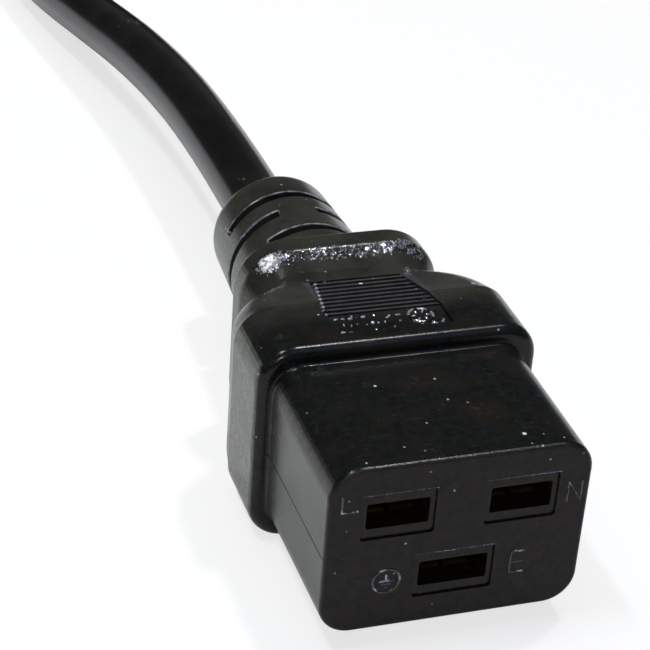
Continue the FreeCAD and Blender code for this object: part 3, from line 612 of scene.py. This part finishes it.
cordSetup = {  # lengths in millimetres
    "diameter": 8.2, "relief": 68.0, "order": 3, "steps": 8, "roundness": 6,
    "hankCentre": (21.15, 273.9), "hankRun": 112.0, "innerTurn": 24.6, "low": -7.4,
    # the hank's turns: share of a turn spent in changing lane, and the stations on its runs and folds
    "shift": 0.07, "runShares": (0.14, 0.38, 0.62, 0.86), "foldDegrees": range(15, 180, 30),
    # straight out of the strain relief, sinking to the floor and swinging onto the hank's left run
    "route": [
        (0, 64, 0), (0, 79, 0), (-0.3, 96, -0.2), (-1.1, 113, -0.9), (-2.9, 130, -2.1), (-5.8, 147, -3.7),
        (-8.7, 164, -5.4), (-10.7, 181, -6.7), (-11.5, 199, -7.3), (-11.65, 217, -7.4),
    ],
    # off the hank's right inner run in a gentle S to the plug
    "tail": [
        (45.75, 336, -7.4), (45.75, 322.2, -6.9), (39.35, 308.3, -4.9), (27.55, 298.5, -2.2),
        (21.15, 284.6, 0), (21.15, 270.6, 0),
    ],
}


def hankStations():
    # one turn as (share of it, where, place along the run in millimetres or angle round the fold)
    run, outer = cordSetup["hankRun"], cordSetup["innerTurn"] + cordSetup["diameter"]
    fold = math.pi * outer
    lap = 2 * (run + fold)
    stations = []
    for share in cordSetup["runShares"]:
        stations.append((run * share / lap, "left", run * (share - 0.5)))
        stations.append(((run + fold + run * share) / lap, "right", run * (0.5 - share)))
    for degrees in cordSetup["foldDegrees"]:
        angle = math.radians(degrees)
        stations.append(((run + outer * angle) / lap, "far", angle))
        stations.append(((2 * run + fold + outer * angle) / lap, "near", angle))
    return sorted(stations)


def hankPoints():
    # lanes of the four turns: outer low, outer high, inner high, inner low; the last is under half a turn
    strand, inner, low = cordSetup["diameter"], cordSetup["innerTurn"], cordSetup["low"]
    lanes = [(inner + strand, low), (inner + strand, low + strand), (inner, low + strand), (inner, low)]
    (centreX, centreY), run, shift = cordSetup["hankCentre"], cordSetup["hankRun"], cordSetup["shift"]
    # a fold's control points stand a little outside its arc
    reach = 1 / math.cos(math.radians(cordSetup["foldDegrees"][0]))
    points = []
    for turn in range(4):
        for share, where, value in hankStations():
            if turn == 3 and where in ("right", "near"):
                continue
            shifts = [(turn + share - change * (1 - shift)) / shift for change in (1, 2, 3)]
            lane = sum(min(1, max(0, done)) for done in shifts)
            first = min(int(lane), 2)
            ease = (lane - first) ** 2 * (3 - 2 * (lane - first))
            radius, z = (a + (b - a) * ease for a, b in zip(lanes[first], lanes[first + 1]))
            side = -1 if where in ("left", "far") else 1
            if where in ("left", "right"):
                points.append((centreX + side * radius, centreY + value, z))
            else:
                across, out = radius * reach * math.cos(value), radius * reach * math.sin(value)
                points.append((centreX + side * across, centreY - side * (run / 2 + out), z))
    return points


def makeCord():
    points = cordSetup["route"] + hankPoints() + cordSetup["tail"]
    curve = bpy.data.curves.new("powerCord", "CURVE")
    curve.dimensions = "3D"
    spline = curve.splines.new("NURBS")
    spline.points.add(len(points) - 1)
    for place, point in zip(points, spline.points):
        point.co = (*(value * mm for value in place), 1.0)
    spline.order_u = cordSetup["order"]
    spline.use_endpoint_u = True
    spline.resolution_u = cordSetup["steps"]
    curve.bevel_depth = cordSetup["diameter"] / 2 * mm
    curve.bevel_resolution = cordSetup["roundness"]
    curve.use_fill_caps = True
    curve.materials.append(finishes["sheath"])
    cord = addPiece(show("powerCord", curve))
    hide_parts("power_cord", "cord_hank", "cord_tail")


makeCord()


# Camera, floor and lights.

cameraSetup = {  # lengths in millimetres
    "place": (-69.24, -148.98, 120.57), "lens": 111.82, "sensor": 36.0, "nearest": 10,
    "forward": (0.2908, 0.8098, -0.5095), "right": (0.9515, -0.3007, 0.0651),
}
floorSetup = {"half": 8.0, "colour": (0.84, 0.84, 0.84), "seen": 0.72, "mirrored": 0.15}
worldSetup = {"colour": (0.6, 0.65, 0.7), "strength": 0.03, "mirrored": 0.06}
lamps = {  # name: place, target, (width, depth), all in metres, watts, colour, whether surfaces mirror it
    "rightKey": ((0.216, 0.15, 0.756), (0.0, 0.03, 0.0), (0.05, 0.05), 2.2, (1.0, 1.0, 1.0), True),
    "leftKey": ((-0.26, 0.07, 0.77), (0.0, 0.03, 0.0), (0.22, 0.04), 2.6, (0.92, 0.96, 1.0), True),
    "fill": ((-0.10, 0.25, 0.75), (0.0, 0.05, 0.0), (0.80, 0.80), 3.0, (1.0, 1.0, 1.0), False),
    "horizon": ((0.45, 1.30, 0.24), (0.0, 0.03, 0.0), (1.60, 0.38), 0.10, (1.0, 0.97, 0.85), True),
    "window": ((0.16, -0.34, 0.55), (0.0, 0.03, 0.0), (0.30, 0.30), 0.35, (0.30, 0.42, 1.0), True),
    "flash": ((-0.19, -0.37, 0.34), (0.0, 0.03, 0.0), (0.03, 0.03), 0.7, (1.0, 1.0, 1.0), True),
}


def makeCamera():
    data = bpy.data.cameras.new("camera")
    data.lens, data.sensor_width = cameraSetup["lens"], cameraSetup["sensor"]
    data.clip_start = cameraSetup["nearest"] * mm
    forward = Vector(cameraSetup["forward"]).normalized()
    right = Vector(cameraSetup["right"])
    right = (right - forward * right.dot(forward)).normalized()
    turn = Matrix((right, right.cross(forward), -forward)).transposed().to_4x4()
    camera = show("camera", data)
    camera.matrix_world = Matrix.Translation(Vector(cameraSetup["place"]) * mm) @ turn
    scene.camera = camera


def makeLamps():
    for name, (place, target, (width, depth), watts, colour, mirrored) in lamps.items():
        data = bpy.data.lights.new(name, "AREA")
        data.shape, data.size, data.size_y = "RECTANGLE", width, depth
        data.energy, data.color = watts, colour
        towards = (Vector(target) - Vector(place)).to_track_quat("-Z", "Y")
        lamp = show(name, data)
        lamp.matrix_world = Matrix.Translation(place) @ towards.to_matrix().to_4x4()
        lamp.visible_glossy, lamp.visible_camera = mirrored, False


def makeFloor():
    # the lens, and less so mirroring surfaces, see plain white mixed over the lit and shadowed floor
    f = Finish("studioFloor")
    seen = f.add("ShaderNodeLightPath", {}, output="Is Camera Ray") * floorSetup["seen"]
    for rays in ("Is Glossy Ray", "Is Transmission Ray"):
        seen = seen + f.add("ShaderNodeLightPath", {}, output=rays) * floorSetup["mirrored"]
    f.give(Base_Color=floorSetup["colour"], Roughness=1.0, Specular_IOR_Level=0.0)
    glow = f.add("ShaderNodeEmission", {}, (1.0, 1.0, 1.0), 1.0)
    mixed = f.add("ShaderNodeMixShader", {}, seen, Wire(f, f.surface.outputs[0]), glow)
    f.tree.links.new(mixed.socket, f.tree.nodes["Material Output"].inputs["Surface"])
    half, level = floorSetup["half"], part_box("housing")[0].z
    mesh = bpy.data.meshes.new("floor")
    corners = [(-half, -half, level), (half, -half, level), (half, half, level), (-half, half, level)]
    mesh.from_pydata(corners, [], [(0, 1, 2, 3)])
    mesh.materials.append(f.material)
    show("floor", mesh)


def makeWorld():
    # the lens sees plain white, and mirroring surfaces a trace of it
    world = bpy.data.worlds.new("studio")
    scene.world = world
    world.use_nodes = True
    w, background = Web(world.node_tree), world.node_tree.nodes["Background"]
    seen = w.add("ShaderNodeLightPath", {}, output="Is Camera Ray")
    strength = w.larger(seen, worldSetup["strength"])
    for rays in ("Is Glossy Ray", "Is Transmission Ray"):
        strength = strength + w.add("ShaderNodeLightPath", {}, output=rays) * worldSetup["mirrored"]
    w.feed(background.inputs["Color"], w.blend(seen, worldSetup["colour"], (1.0, 1.0, 1.0)))
    w.feed(background.inputs["Strength"], strength)


makeCamera()
makeLamps()
makeFloor()
makeWorld()
scene.view_settings.view_transform = "Standard"
print("studio made")
